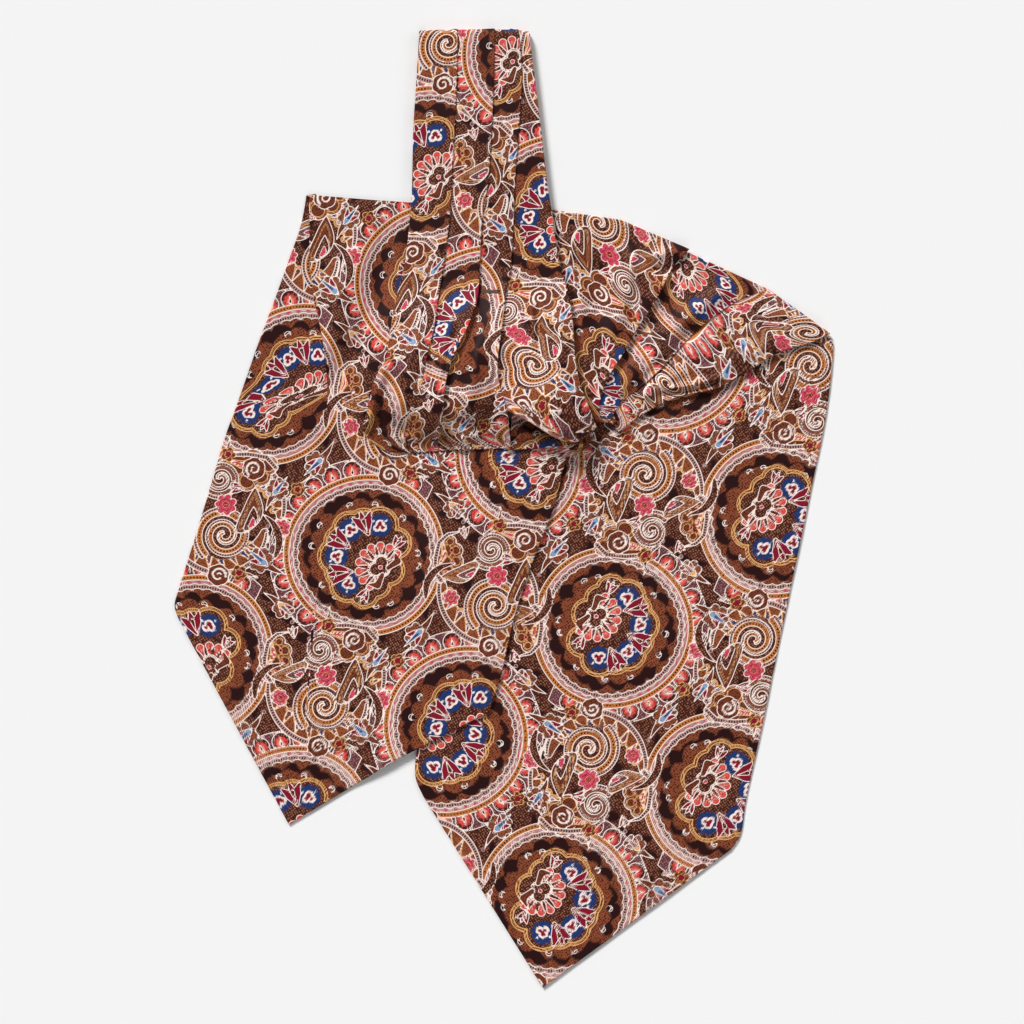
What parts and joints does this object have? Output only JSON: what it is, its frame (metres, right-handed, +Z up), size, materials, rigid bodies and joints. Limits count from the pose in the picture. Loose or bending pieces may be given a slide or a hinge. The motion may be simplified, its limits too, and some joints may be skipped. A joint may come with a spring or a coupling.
{
  "type": "silk cravat",
  "caption": "Pleated silk neckband folded into a loop, gathered cloth fanning out below it and two wide pointed blades lying one over the other, laid flat.",
  "frame": {"origin": "centre of the base of the laid-out cravat's box, on the surface it lies on", "axes": "+Z up from the surface, +Y from the blade points towards the neckband loop, +X towards the lower blade's side"},
  "size_m": [0.312, 0.454, 0.0164],
  "materials": {
    "silk_print": "satin"
  },
  "bodies": {
    "root": {"neckband_front": "silk_print", "neckband_back": "silk_print", "left_gather": "silk_print", "left_raised_pleat": "silk_print", "left_under_fold": "silk_print", "left_blade": "silk_print", "right_gather": "silk_print", "right_blade": "silk_print", "folded_core": "silk_print"}
  },
  "joints": []
}
